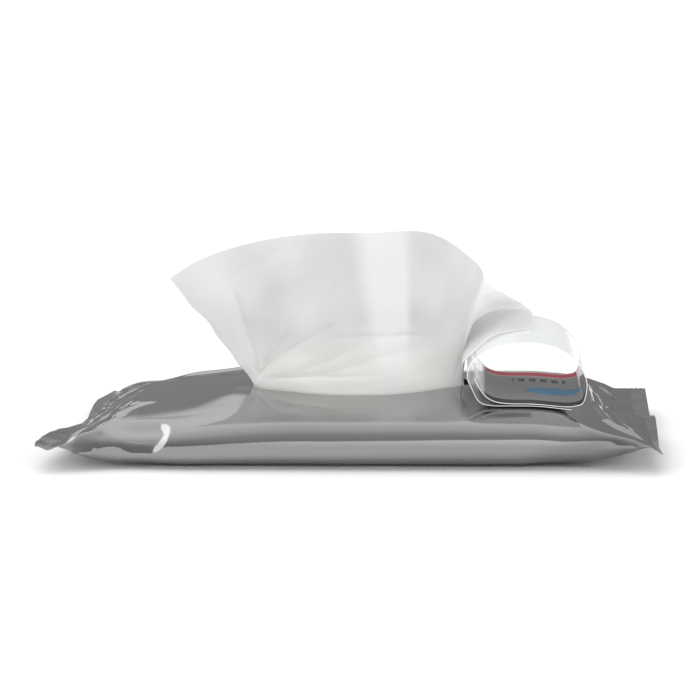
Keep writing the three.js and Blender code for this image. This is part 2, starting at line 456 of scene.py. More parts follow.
# %% Roll a place of the web up
TOP_RAMP = (0.43, 0.42)  # slope at the left end and at the right end
BASE_RAMP = (0.50, 0.44)
TOP_BEND = 1.2
BASE_BEND = 1.6
SPREAD = 19  # the length over which the film spreads to the width of a seal
SLUMP = 0.085  # how far the side walls have sunk in the left half, as a share of the height
CORNER_HEIGHT = [
    # X, and the height below which the front wall leans in
    (-112, 9.6), (-97, 14.2), (-80, 11), (-68, 9), (66, 9), (84, 11), (101, 14.4), (113, 9.8),
]
LEFT_LEAN = 0.22
RIGHT_LEAN = 0.36


def soft_least(a, b, radius):
    """The lesser of a and b, rounded off where they cross. With minus signs, the greater."""
    near = np.maximum(radius - np.abs(a - b), 0) / radius
    return np.minimum(a, b) - near**2 * radius / 4


def pouch_surface(x, w):
    """The smooth pouch over a place (x, w) of the web; w is across it, with the front at w < 0."""
    s = np.mod(-w / GIRTH, 1.0)
    y_body = HALF_WIDTH * np.interp(s, round_at, round_y)
    share = np.interp(s, round_at, round_z)
    slump = SLUMP * (1 - smooth(x, -20, 80))
    z_body = pouch_height(x) * (share - slump * bell(share, 0.45, 0.22))

    # At a seal the tube lies flat, folded a quarter and three quarters of the way round.
    fold = np.where(s < 0.25, -4 * s, np.where(s < 0.75, 4 * s - 2, 4 - 4 * s))
    upper = (s < 0.25) | (s > 0.75)
    z_seal = SEAL_LIFT + np.where(upper, 0.8, -0.8) * FILM_THICKNESS

    inside = np.maximum(SEAL_START - np.abs(x), 0)
    above = z_seal + np.where(x < 0, *TOP_RAMP) * inside
    below = z_seal - np.where(x < 0, *BASE_RAMP) * inside
    top = soft_least(z_body, above, TOP_BEND)
    base = -soft_least(-z_body, -below, BASE_BEND)
    z = mix(z_seal, np.where(upper, top, base), smooth(inside, -1, 6))
    y = mix(SEAL_HALF * fold, y_body, smooth(inside, 0, SPREAD))

    lean = LEFT_LEAN * smooth(-x, 66, 82) + RIGHT_LEAN * smooth(x, 64, 84)
    y = y + np.maximum(table_at(CORNER_HEIGHT, x) - z, 0) * (smooth(-y, 35, 50) * lean)
    return np.stack([x + seal_slide(x, y), y, z], -1)


middle_top = pouch_surface(np.array([0.0]), np.array([0.0]))
print("the middle of the top, mm:", middle_top.round(2))

# %% [markdown]
# A crease in thin film is a sharp ridge that fades out at its ends. It is described by a few
# points on the web, its height and how wide it is. A bump in the material could show creases
# too, but not on the outline or where the film mirrors the room, so these are real shape.

# %% A crease along a line
CREST_ROUND = 0.35


def along_line(x, w, line):
    """Distance from each place to a line of points, and how far along it the nearest point is."""
    line = np.array(line, float)
    lengths = np.hypot(*np.diff(line, axis=0).T)
    start = np.concatenate([[0], np.cumsum(lengths)])
    best = np.full(x.shape, np.inf)
    where = np.zeros(x.shape)
    for (ax, aw), (bx, bw), size, begin in zip(line[:-1], line[1:], lengths, start):
        t = np.clip(((x - ax) * (bx - ax) + (w - aw) * (bw - aw)) / size**2, 0, 1)
        distance = np.hypot(x - mix(ax, bx, t), w - mix(aw, bw, t))
        nearer = distance < best
        best = np.where(nearer, distance, best)
        where = np.where(nearer, (begin + t * size) / start[-1], where)
    return best, where


def crease(x, w, line, height, width, fade):
    """A ridge with a slightly rounded crest. It fades over a share of its length at each end."""
    distance, where = along_line(x, w, line)
    ends = plateau(where, 0, fade, 1 - fade, 1)
    return height * ends * np.exp((CREST_ROUND - np.hypot(distance, CREST_ROUND)) / width)


LEFT_CREASES = [
    # a line of (X, W) places on the web, height, width
    ([(-110, -50), (-107.5, -20), (-105, 6), (-99, 25.5), (-90, 35)], 0.7, 0.6),
    ([(-110, -52), (-103, -36), (-99, -22), (-97, 0), (-92, 22)], 0.7, 0.6),
    ([(-110, -54), (-106, -42), (-103, -20), (-101, 2), (-95, 24)], 0.5, 0.5),
    ([(-110, -55), (-101, -53), (-96.5, -50), (-94, -38), (-92, -15), (-86, -4)], 1.5, 1.2),
    ([(-94, -34), (-91, -20), (-88, -12), (-82, -8)], 0.7, 0.6),
    ([(-110, 4), (-108.5, 22), (-104, 30), (-99, 44)], 0.6, 0.6),
    ([(-95.5, -50), (-96.5, -56), (-98, -63)], -0.5, 0.9),
]
RIGHT_CREASES = [
    ([(94, 40), (94.5, 20), (95.5, -8), (98, -30), (101, -39), (105, -46), (112, -54)], 1.5, 1.0),
    ([(97, 28), (99, 10), (100, -12), (102, -30), (105, -40)], 0.6, 0.6),
    ([(98, -3), (104, -1), (111, 2)], 0.7, 0.7),
    ([(99, 44), (103, 38), (108, 36)], 0.5, 0.8),
]
print("creases:", len(LEFT_CREASES), "at the left,", len(RIGHT_CREASES), "at the right")

# %% [markdown]
# The rest of the film's relief is softer: fine gathers that run out from the front corners,
# a dent at the front left with a bowed end that catches the light, a swelling between the
# left end and the mouth, a lip along the back, and an unevenness over everything. Each is a
# small function of its own, and the relief is their sum.

# %% Soft relief of the film
LEFT_CORNER = (-114, -60)
RIGHT_CORNER = (117, -62)
LEFT_GATHERS = 0.32
RIGHT_GATHERS = 0.08
GATHER_REACH = 150
DENT_DEPTH = 2.4
DENT_END = -70.5
DENT_BOW = 0.045
SWELLING = 1.9
BACK_LIP = [(-92, 41), (-70, 43), (-50, 42)]
LIP_HEIGHT = 1.5
SLOW_WAVES = 0.12


def fan(x, w, tip, layer):
    """Gathers that run out from a tip like the ribs of a fan, and die out with distance."""
    dx, dw = x - tip[0], w - tip[1]
    angle = np.arctan2(dw, dx)
    far = np.hypot(dx, dw)
    coarse = noise_at(angle * 3.4, far / 70, layer)
    fine = noise_at(angle * 9.0, far / 40, layer + 5)
    size = np.minimum(far / 40, 1) * (1 - smooth(far, GATHER_REACH / 2, GATHER_REACH))
    return size * (2.6 * (0.35 - np.abs(coarse)) + 0.9 * (0.35 - np.abs(fine)))


def front_dent(x, w):
    """The dent at the front left. Its right end is a short steep step along a bowed line."""
    step_at = DENT_END - DENT_BOW * (w + 50) ** 2
    depth = DENT_DEPTH * plateau(-w, 38, 47, 54, 62)
    return depth * (1 - smooth(x - step_at, -4.2, 0.5)) * smooth(x, -98, -84)


def left_swelling(x, w):
    """The top swells to the left of the mouth, more and more towards the back."""
    toward_back = np.clip((w + 35) / 68, 0, 1) * (1 - smooth(w, 40, 58))
    return SWELLING * plateau(x, -96, -70, -53, -40) * toward_back


def back_lip(x, w):
    distance, along = along_line(x, w, BACK_LIP)
    ends = smooth(along, 0.05, 0.5) * (1 - smooth(x, -52, -44))
    return LIP_HEIGHT * bell(distance, 0, 3.0) * ends


def unevenness(x, w):
    """Slow waves all over, and quicker ones where the film is slack, left of the mouth."""
    slow = noise_at(x / 60, w / 34, 1.3)
    quick = noise_at(x / 17, w / 10, 7.1)
    slack = 0.03 + 0.15 * bell(x, -50, 20) * bell(w, -12, 22)
    return (SLOW_WAVES * slow + slack * quick) * (1 - smooth(np.abs(x), 100, 112))


def film_relief(x, w):
    """How far the film stands out from the smooth pouch, in millimetres."""
    out = np.zeros(x.shape)
    for line, height, width in LEFT_CREASES + RIGHT_CREASES:
        out += crease(x, w, line, height, width, fade=0.15)
    out -= front_dent(x, w)
    out += LEFT_GATHERS * fan(x, w, LEFT_CORNER, 3.7) * smooth(-x, 86, 97)
    out += RIGHT_GATHERS * fan(x, w, RIGHT_CORNER, 6.1) * smooth(x, 92, 104)
    return out + left_swelling(x, w) + back_lip(x, w) + unevenness(x, w)


relief = film_relief(*(axis.ravel() for axis in np.meshgrid(columns_at[::8], rows_at[::8])))
print("relief of the film, mm:", relief.min().round(2), "to", relief.max().round(2))

# %% [markdown]
# Both seals are crimped in fine ribs that run front to back. The film of the two layers is
# pressed together there, so whatever bends a seal moves both layers alike.

# %% The crimped seals
RIB_PITCH = 2.0
RIB_HEIGHT = 0.11
RIB_BREAKS = 2.9  # how far apart the ribs are pressed less deep
FRONT_LIFT = 1.2
BACK_DROOP = 0.30
TUCK = 1.3
CORNER_DROOP = 0.22
LEFT_CRIMP = SEAL_START
RIGHT_CRIMP = SEAL_START + 5


def seal_bend(x, y):
    """Lift of both layers of a seal at a place of the plan."""
    left = x < 0
    left_ribbed = smooth(-x, LEFT_CRIMP - 1, LEFT_CRIMP + 1)
    right_ribbed = smooth(x, RIGHT_CRIMP - 1, RIGHT_CRIMP + 1)
    wave = np.cos(2 * math.pi * (np.abs(x) - SEAL_START) / RIB_PITCH)
    ribs = RIB_HEIGHT * wave * (1 + 0.6 * np.sin(2 * math.pi * y / RIB_BREAKS))
    near = smooth(np.abs(x), BODY_END, SEAL_START)
    beyond = np.maximum(np.abs(x) - SEAL_START, 0)

    # The left seal stands higher at its front, droops behind, and is notched near the corner.
    slope = mix(0.02, -BACK_DROOP, smooth(y, -30, 0))
    front_left = FRONT_LIFT * smooth(-y, 20, 58) + beyond * slope
    notch = -1.0 * smooth(y, 2, 9) - 1.6 * bell(beyond, 5, 3.5) * smooth(-y, 46, 60)
    # The front half of the right seal is tucked up, and its front corner hangs.
    tuck = TUCK * smooth(-y, -1, 2)
    corner = -CORNER_DROOP * beyond * smooth(-y, 44, 60)
    ripple = np.where(left, 0.2, 0.05) * np.sin(y / 3.4) + 0.1 * np.sin(y / 1.7 + x / 4) * left

    bend = np.where(left, front_left + notch, tuck + corner) + ripple
    return np.where(left, left_ribbed, right_ribbed) * ribs + near * bend


print("ribs on the left seal:", int((HALF_LENGTH - LEFT_CRIMP) / RIB_PITCH))

# %% [markdown]
# The relief stands out square to the smooth surface. It fades where the film is pressed
# together in a seal and where it lies on the table, and no point may sink below the table.

# %% The crumpled pouch
NORMAL_STEP = 0.4
LOWEST_FILM = 0.13


def film_points(x, w):
    """The crumpled pouch, in millimetres."""
    base = pouch_surface(x, w)
    along = pouch_surface(x + NORMAL_STEP, w) - pouch_surface(x - NORMAL_STEP, w)
    across = pouch_surface(x, w + NORMAL_STEP) - pouch_surface(x, w - NORMAL_STEP)
    normal = np.cross(along, across)
    normal /= np.linalg.norm(normal, axis=1, keepdims=True)
    loose = 1 - smooth(np.abs(x), SEAL_START - 4, SEAL_START + 0.5)
    off_table = smooth(base[:, 2], 0.2, 3.0)
    points = base + normal * (film_relief(x, w) * loose * off_table)[:, None]
    points[:, 2] += seal_bend(x, base[:, 1])
    points[:, 2] += mouth_lift(x, base[:, 1]) * smooth(base[:, 2], 12, 18)
    points[:, 2] = np.maximum(points[:, 2], LOWEST_FILM)
    return points


web = grid("pouch_film_skin", len(columns_at) - 1, len(rows_at) - 1)
along, across = shares(web)
move_points(web, np.column_stack([
    pick(columns_at, along), pick(rows_at, across), np.zeros(len(along)),
]))
print("flat web, mm:", (2 * HALF_LENGTH).round(1), "by", GIRTH.round(1))

# %% [markdown]
# The mouth is punched out of the web while it is flat. Deleting faces alone would leave a
# stepped edge, so the points round them are drawn onto a smooth oval first.

# %% Cut the mouth
MOUTH_X = 1.2
MOUTH_HALF = (45.0, 17.0)
MOUTH_POWER = 2.3


def mouth_reach(x, w):
    """1 on the mouth's outline, less inside it."""
    dx = np.abs(x - MOUTH_X) / MOUTH_HALF[0]
    dw = np.abs(w) / MOUTH_HALF[1]
    return (dx**MOUTH_POWER + dw**MOUTH_POWER) ** (1 / MOUTH_POWER)


def cut_mouth(piece):
    """Draws the edge of the hole onto the oval and deletes the faces inside it."""
    mesh = piece.data
    centres = np.array([face.center for face in mesh.polygons])
    choose(piece)
    bpy.ops.object.mode_set(mode="EDIT")
    bpy.ops.mesh.select_mode(type="FACE")
    bpy.ops.mesh.select_all(action="DESELECT")
    bpy.ops.object.mode_set(mode="OBJECT")
    mesh.polygons.foreach_set("select", mouth_reach(centres[:, 0], centres[:, 1]) < 1)
    rim = {v for face in mesh.polygons if face.select for v in face.vertices}
    rim &= {v for face in mesh.polygons if not face.select for v in face.vertices}
    points = points_of(piece)
    for index in rim:
        x, w, z = points[index]
        reach = mouth_reach(x, w)
        points[index] = MOUTH_X + (x - MOUTH_X) / reach, w / reach, z
    move_points(piece, points)
    bpy.ops.object.mode_set(mode="EDIT")
    bpy.ops.mesh.delete(type="FACE")
    bpy.ops.object.mode_set(mode="OBJECT")
    print("mouth cut: rim of", len(rim), "points")


cut_mouth(web)

# %% [markdown]
# Rolled up, the two long edges of the web meet under the pack and are merged. The film's
# thickness comes last and grows inwards, so the outside keeps its size.

# %% Roll the web up and close it


def weld(piece, gap, fill_ends=False):
    """Merges points closer than the gap, closes open ends if asked, and turns faces outwards."""
    choose(piece)
    bpy.ops.object.mode_set(mode="EDIT")
    bpy.ops.mesh.select_all(action="SELECT")
    bpy.ops.mesh.remove_doubles(threshold=gap * MM)
    if fill_ends:
        bpy.ops.mesh.select_mode(type="EDGE")
        bpy.ops.mesh.select_all(action="DESELECT")
        bpy.ops.mesh.select_non_manifold()
        bpy.ops.mesh.fill()
        bpy.ops.mesh.select_all(action="SELECT")
    bpy.ops.mesh.normals_make_consistent(inside=False)
    bpy.ops.object.mode_set(mode="OBJECT")


web_places = points_of(web)
move_points(web, film_points(web_places[:, 0], web_places[:, 1]) * MM)
weld(web, 0.02)
apply_modifier(web, "SOLIDIFY", thickness=FILM_THICKNESS * MM, offset=-1.0)
print("film faces:", len(web.data.polygons))

# %% [markdown]
# The finish of the film is a satin metallised plastic: nearly a mirror, blurred a little, and
# slightly uneven. It has hardly a colour of its own and lives from what it reflects. Plain
# metal with one roughness would look like chrome, so a slow noise makes both its grey and its
# gloss uneven. The film is duller in the crimps. Its grey is painted darker in the crimps, low
# down and at the right end: painted shade, which dims what the film reflects there.

# %% The film's finish
film_finish = bpy.data.materials.new("satin_silver_film")
shader = Shader(film_finish)
place = shader.coordinates("Object")
along_x, _, up_z = shader.parts(place)
u = shader.parts(shader.coordinates("UV"))[0]
cloud = shader.noise(place, Scale=18.0, Detail=3.0)
grain = shader.noise(place, Scale=900.0, Detail=2.0)


def u_at(x):
    """The web's U coordinate at a place along it."""
    return float(np.interp(x, columns_at, np.linspace(0, 1, len(columns_at))))


right_crimp = u.over(u_at(RIGHT_CRIMP - 0.5), u_at(RIGHT_CRIMP + 0.5))
left_crimp = (0 - along_x).over(112 * MM, 113 * MM)
dulled = right_crimp + (0 - along_x).over(108.5 * MM, 109.5 * MM)
tone = shader.blend(grey(0.365), grey(0.405), cloud)
# painted shade: the film is painted darker low down, near the table
tone = shader.blend(tone, grey(0.29), 1 - up_z.over(10 * MM, 13 * MM))
# painted shade: the right end of the film is painted darker
tone = shader.blend(tone, grey(0.27), along_x.over(80 * MM, 100 * MM))
shader.finish(
    # painted shade: the crimps are painted darker
    Base_Color=shader.blend(tone, grey(0.22), left_crimp * 0.7 + right_crimp * 0.4),
    Metallic=1.0,
    Roughness=0.09 + cloud * 0.05 + dulled * 0.16,
    Normal=shader.bump(grain, 0.06),
)
shade(web, film_finish, 60)
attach(web, "root")
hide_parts("pouch_film")
print("nodes in the film's finish:", len(shader.tree.nodes))

# %% [markdown]
# The lengthwise seal lies flat under the pack. A toothed knife cuts the film there, and this
# saw edge just shows along the front. It is a narrow strip of its own, since a row of teeth
# on the web would need a fine grid all round the pouch.

# %% The edge of the seal underneath
TOOTH_PITCH = 3.0
TOOTH_DEPTH = 1.2
TEETH = 58
STEPS_PER_TOOTH = 12
FIN_MIDDLE = 7.5
FIN_FRONT = -47.6
FIN_BACK = -42.0
FIN_LIFT = 0.1
FIN_WAVE = 0.22

fin = grid("under_seal_edge", TEETH * STEPS_PER_TOOTH, 4)
along, across = shares(fin)
x = FIN_MIDDLE + (along - 0.5) * TEETH * TOOTH_PITCH
tooth = np.abs(np.mod(x / TOOTH_PITCH, 1.0) - 0.5) * 2
front = 1 - smooth(across, 0, 0.3)
y = mix(FIN_FRONT, FIN_BACK, across) + front * (tooth - 0.5) * TOOTH_DEPTH
z = FIN_LIFT + FIN_WAVE * front * (0.5 + 0.5 * np.sin(x / 9))
move_points(fin, np.column_stack([x, y, z]) * MM)
apply_modifier(fin, "SOLIDIFY", thickness=FILM_THICKNESS * MM, offset=0.0)
# The strip is painted a dull grey, much lighter than the film, so that its teeth show as pale
# dashes: a painted highlight.
fin_finish = bpy.data.materials.new("saw_edge_painted_light")
Shader(fin_finish).finish(Base_Color=grey(0.75), Roughness=0.5)
shade(fin, fin_finish, 40)
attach(fin, "root")
print("teeth:", TEETH, "strip faces:", len(fin.data.polygons))

# %% [markdown]
# ## The pulled wipe
#
# A nonwoven wipe is limp but, being wet, holds a fan of soft folds where it was pulled up
# through the mouth. A cloth simulation would let it fall over, so it is drawn: upright guide
# lines give its shape, and the sheet runs smoothly through them.

# %% Guide lines of the wipe
# Each line starts at the mouth and ends at the free top edge, from the left to the right.
# The last four turn round the end of the mouth and form the flap at the right.
WIPE_GUIDES = np.array([
    [(-43.5, -0.6, 22.0), (-49.5, -2, 34), (-58, -3, 46), (-67.5, -3, 57), (-76.5, -1, 68.3)],
    [(-37, -7.6, 22.1), (-41, -11, 38), (-48, -12, 53), (-55, -10, 66), (-62, -6, 77.5)],
    [(-24, -12.8, 22.5), (-27, -16, 38), (-31, -17, 55), (-36, -14, 70), (-42, -9, 84)],
    [(-6, -15.2, 22.5), (-7, -18, 38), (-10, -17, 55), (-14, -13, 71), (-18, -9, 87.6)],
    [(12, -15, 22.5), (12, -19, 38), (10, -17, 55), (8, -13, 71), (6, -9, 88)],
    [(27, -12.9, 22.5), (28, -16, 38), (29, -15, 55), (30, -12, 71), (31, -10, 87.8)],
    [(36.5, -9.3, 22.5), (37.5, -10, 36), (41, -10, 50), (45, -9, 64), (49, -8, 75.5)],
    [(41.1, -6.5, 22.5), (42.4, -4, 33), (44.6, -2, 44), (48.3, 0, 56), (52.6, 2, 65.9)],
    [(42.2, -5.2, 22.5), (43.0, 1, 34), (45.3, 9, 44.5), (51.5, 14, 53), (60.5, 14, 58.4)],
    [(42.8, -4, 22.5), (43.0, 8, 33), (44.6, 19, 42), (55, 24, 49), (70.5, 26, 49.6)],
    [(43.4, -2.6, 22.5), (43.6, -18, 33), (46.8, -29, 41.3), (56.5, -18, 47.9), (72, -10, 49.2)],
], float)


def through(points, t):
    """A smooth curve through points, which run along the first axis, at t from 0 to 1.

    Where each t has points of its own, the second axis runs along t.
    """
    every = [np.arange(len(t))] if points.ndim == 3 else []
    last = len(points) - 1
    at = np.clip(t, 0, 1) * last
    k = np.minimum(at.astype(int), last - 1)
    f = (at - k)[:, None]

    def take(index):
        return points[(index, *every)]

    here, ahead = take(k), take(k + 1)
    before = np.where((k == 0)[:, None], 2 * here - ahead, take(np.maximum(k - 1, 0)))
    after = np.where((k == last - 1)[:, None], 2 * ahead - here, take(np.minimum(k + 2, last)))
    return 0.5 * (
        2 * here
        + (ahead - before) * f
        + (2 * before - 5 * here + 4 * ahead - after) * f**2
        + (3 * here - before - 3 * ahead + after) * f**3
    )


corner = through(WIPE_GUIDES[0], np.array([1.0]))[0]
print("top left corner of the wipe, mm:", corner.round(1))

# %% [markdown]
# Behind the mouth the sheet goes on: it turns down over the stack, spreads out flat to its
# full width, folds once at the back and comes forward again. So the one coordinate `up` runs
# from -2 at the hidden edge through -1 at the fold and 0 at the mouth to 1 at the top.

# %% The surface of the wipe
WIPE_THICKNESS = 0.4
FLAP_BACK = 42.0
FLAP_FRONT = -42.0
FLAP_HALF = 88.0
FOLD_RISE = 0.9
STACK_BELOW_TOP = 6.0
STACK_GAP = 0.3
# Shares of `up`: where the sheet has turned down, where it starts to spread, and the fold.
TURNED_DOWN = 0.12
SPREAD_START = 0.08
FOLD_TURN = 0.06


def wipe_surface(across, up):
    """The smooth wipe at a share across, from 0 at the left to 1 at the right, and at up."""
    stacked = np.stack([through(guide, np.maximum(up, 0)) for guide in WIPE_GUIDES])
    points = through(stacked, across)
    points[:, 2] += mouth_lift(points[:, 0], points[:, 1]) * (1 - smooth(up, 0, 0.25))
    wavy = np.sin(up * 11 + 1.0) + 0.6 * np.sin(up * 23)
    points[:, 0] += 0.7 * wavy * smooth(up, 0.1, 0.3) * (1 - smooth(across, 0, 0.08))

    down = np.clip(-up / TURNED_DOWN, 0, 1)
    behind = np.clip((-up - SPREAD_START) / (1 - SPREAD_START), 0, 1)
    x = mix(points[:, 0], mix(-FLAP_HALF, FLAP_HALF, across), behind)
    y = mix(points[:, 1] + 1.5 * down, FLAP_BACK, behind)
    lower = pouch_height(x) - STACK_BELOW_TOP + STACK_GAP + WIPE_THICKNESS / 2
    z = mix(points[:, 2], lower + FOLD_RISE, smooth(down, 0, 1))

    turn = np.clip((-up - 1) / FOLD_TURN, 0, 1) * math.pi
    forward = np.clip((-up - 1 - FOLD_TURN) / (1 - FOLD_TURN), 0, 1)
    y = np.where(up < -1, mix(y, FLAP_FRONT, forward) + FOLD_RISE / 2 * np.sin(turn), y)
    z = np.where(up < -1, lower + FOLD_RISE / 2 * (1 + np.cos(turn)), z)
    return np.where((up < 0)[:, None], np.column_stack([x, y, z]), points)


print("the hidden part lies", STACK_BELOW_TOP - STACK_GAP, "mm below the top of the pouch")

# %% [markdown]
# The folds are what makes the sheet look like cloth. The sharp ones run out from the corner
# of the mouth, where the sheet is gathered, and one across is left from how it was folded in
# the pack. Between them the sheet swells softly, and noise keeps it from looking moulded.

# %% Folds in the wipe
STANDING_WIDTH = 130
STANDING_HEIGHT = 65
GATHER = (6, -4)  # the corner that the finest folds run out from
WIPE_FOLDS = [
    # a line of (across, up) places in millimetres, height, width
    ([(36, 24.0), (46, 25.0), (56, 25.2), (68, 24.6)], 1.1, 0.7),
    ([(2, 0), (12, 7), (22, 15.5), (35, 26), (44, 32)], 1.6, 1.3),
    ([(3, 0), (14, 10), (24, 22), (32, 29)], 1.1, 1.0),
    ([(4, 0), (10, 12), (14, 30), (17, 50)], 1.5, 1.4),
    ([(4, 0), (18, 5), (34, 8), (50, 9)], 0.7, 0.9),
    ([(48, 25), (49, 20), (48.5, 14)], 0.6, 0.7),
    ([(61, 24), (61, 40), (63, 58)], 0.9, 1.2),
    ([(84, 2), (88, 18), (90, 30), (92, 44)], 1.2, 1.5),
    ([(10, 47), (18, 54), (30, 59), (44, 61)], 0.9, 1.8),
    ([(20, 40), (27, 50), (38, 56)], 0.7, 1.4),
]


def wipe_relief(across, up):
    """Folds pressed into the standing part of the wipe, in millimetres towards its back."""
    x, z = across * STANDING_WIDTH, up * STANDING_HEIGHT
    out = np.zeros(x.shape)
    for line, height, width in WIPE_FOLDS:
        out -= crease(x, z, line, height, width, fade=0.2)
    out -= 1.3 * bell(x, 54, 5) * smooth(z, 4, 30)
    out += 0.9 * bell(x, 66, 4) * smooth(z, 14, 40)
    turn = np.arctan2(z - GATHER[1], x - GATHER[0])
    far = np.hypot(z - GATHER[1], x - GATHER[0])
    rays = noise_at(turn * 7, far / 45, 2.2)
    out += 0.9 * np.abs(rays) * plateau(far, 3, 12, 40, 85)
    soft = noise_at(x / 13, z / 34, 5.2)
    small = noise_at(x / 5, z / 8, 9.4)
    return (out + 1.1 * soft + 0.3 * small) * smooth(up, 0.0, 0.12)


print("folds in the wipe:", len(WIPE_FOLDS))

# %% [markdown]
# The grid of the wipe is finest where it stands, and again at the fold at the back. Each
# point is pushed along the normal of the smooth sheet, which two small steps give.

# %% Shape the wipe
WIPE_COLUMNS = 200
WIPE_ROWS = np.concatenate([
    np.linspace(-2, -1 - FOLD_TURN, 24, endpoint=False),
    np.linspace(-1 - FOLD_TURN, -1, 6, endpoint=False),
    np.linspace(-1, 0, 40, endpoint=False),
    np.linspace(0, 1, 120),
])
SHARE_STEP = 0.004

wipe = grid("pulled_wipe_sheet", WIPE_COLUMNS, len(WIPE_ROWS) - 1)
across, row_share = shares(wipe)
up = pick(WIPE_ROWS, row_share)
to_right, to_left = np.minimum(across + SHARE_STEP, 1), np.maximum(across - SHARE_STEP, 0)
du = wipe_surface(to_right, up) - wipe_surface(to_left, up)
dv = wipe_surface(across, np.minimum(up + SHARE_STEP, 1)) - wipe_surface(across, up - SHARE_STEP)
normal = np.cross(du, dv)
normal /= np.maximum(np.linalg.norm(normal, axis=1, keepdims=True), 1e-9)
relief = wipe_relief(across, up)[:, None]
move_points(wipe, (wipe_surface(across, up) + normal * relief) * MM)
apply_modifier(wipe, "SOLIDIFY", thickness=WIPE_THICKNESS * MM, offset=0.0)
print("wipe faces:", len(wipe.data.polygons))

# %% [markdown]
# A wet nonwoven is white, dull and slightly see-through: light comes through it where it is
# single, and where two layers lie together, as at its folded edges, it is whiter. So its
# colour follows the layers across the sheet. On the left edge and the flap at the right that
# white is also painted light, which lifts them out of their shade. With the height its colour
# is painted lighter low down, where the film shades it, and darker towards the top. Half of
# its surface is translucent. The fibres are a very fine bump.

# %% The wipe's finish
wipe_finish = bpy.data.materials.new("moist_nonwoven")
shader = Shader(wipe_finish)
place = shader.coordinates("Object")
height = shader.parts(place)[2]
u = shader.parts(shader.coordinates("UV"))[0]
fibre = shader.noise(place, Scale=1400.0, Detail=4.0, Roughness=0.7)
damp = shader.noise(place, Scale=35.0, Detail=3.0)
# whiter where two layers lie together; on the left edge and the flap at the right also painted
# light
layers_and_painted_light = u.band(0.36, 0.40, 0.45, 0.47) + u.over(0.64, 0.7) * 1.5
layers_and_painted_light = layers_and_painted_light + (1 - u.over(0.06, 0.2)) * 0.9
# painted light and shade: lighter low down, where the film shades the sheet, darker at the top
low = shader.blend((0.95, 0.95, 0.915, 1), (0.98, 0.98, 0.955, 1), damp)
high = shader.blend((0.40, 0.40, 0.39, 1), (0.84, 0.84, 0.83, 1), damp)
tone = shader.blend(low, high, height.over(22 * MM, 56 * MM))
shader.finish(
    Base_Color=shader.blend(tone, grey(0.97), layers_and_painted_light * 0.42),
    Roughness=0.85,
    Specular_IOR_Level=0.25,
    Normal=shader.bump(fibre, 0.25),
    shine_through=0.5,
)
shade(wipe, wipe_finish, 60)
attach(wipe, "root")
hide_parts("pulled_wipe")
print("nodes in the wipe's finish:", len(shader.tree.nodes))

# %% [markdown]
# ## The folded wipes
#
# Only a little of the stack shows through the mouth. It is a block whose long edges are the
# folds of the single wipes, so they are grooved from end to end. A grid rolled round once
# and filled at both ends gives that block with even faces. The pulled wipe rests on it.

# %% The stack
LAYER = 0.9
GROOVE = 0.006
SIDE_SQUARENESS = 0.3
TOP_SQUARENESS = 0.5

stack_low, stack_high = box_mm("wipe_stack")
stack = grid("wipe_stack_folds", 60, 120)
along, across = shares(stack)
x = (along - 0.5) * (stack_high[0] - stack_low[0])
turn = (across - 0.5) * 2 * math.pi
c, s = np.cos(turn), np.sin(turn)
half = (pouch_height(x) - STACK_BELOW_TOP - stack_low[2]) / 2
groove = 1 - GROOVE * np.abs(np.sin(math.pi * half * np.abs(s) / LAYER)) * np.abs(c)
y = stack_high[1] * np.sign(c) * np.abs(c) ** SIDE_SQUARENESS * groove
z = stack_low[2] + half + half * np.sign(s) * np.abs(s) ** TOP_SQUARENESS
move_points(stack, np.column_stack([x, y, z]) * MM)
weld(stack, 0.01, fill_ends=True)
shade(stack, wipe_finish, 40)
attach(stack, "root")
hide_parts("wipe_stack")
print("stack faces:", len(stack.data.polygons))

# %% [markdown]
# ## The label
#
# The label is one strip of clear film. It is stuck down at its right end, runs left over the
# pouch, rolls up and over in a loop, and its free end lies inside the loop and curls up. A
# curve with a flat section could be bent the same way, but a grid keeps an even UV map for
# the print, so its points are laid along the path by their share of its length.

# %% The label's path
LABEL_THICKNESS = 0.22
LABEL_GAP = 0.55
INNER_GAP = 0.8
lie = FULL_HEIGHT + LABEL_GAP
inner = lie + INNER_GAP
LABEL_PATH = np.array([
    # X and Z, from the end that is stuck down
    (86, lie), (74, lie), (63, lie), (55, lie + 0.1), (50, lie + 1.4),
    (47, lie + 6), (45, lie + 11.6), (47.4, lie + 17.8), (54, lie + 22.3),
    (63, lie + 24.6), (72, lie + 24.7), (81, lie + 22.4), (88.5, lie + 17),
    (92, lie + 9.6), (91, lie + 3.4), (87, inner + 0.7), (81, inner), (69, inner),
    (59, inner + 0.3), (53.5, inner + 2), (50, inner + 5.5), (48, inner + 9.5),
])
PATH_SAMPLES = 2000

path_line = through(LABEL_PATH, np.linspace(0, 1, PATH_SAMPLES))
path_at = np.concatenate([[0], np.cumsum(np.hypot(*np.diff(path_line, axis=0).T))])
print("label length, mm:", path_at[-1].round(1))
path_at /= path_at[-1]

# %% [markdown]
# Where the label is stuck down it follows the rounded top of the pouch, and the farther it
# rises above the film, the less it does.

# %% Shape the label
LABEL_HALF_WIDTH = 31.0
LABEL_SKEW = 2.5
LABEL_Y = -6.0
RIM_RISE = 0.7


def top_surface(x, y):
    """Height of the film under the label."""
    half = pouch_height(x) / 2
    round_off = (1 - np.minimum(np.abs(y) / HALF_WIDTH, 1) ** TOP_POWER) ** (1 / TOP_POWER)
    return half + half * round_off + mouth_lift(x, y)


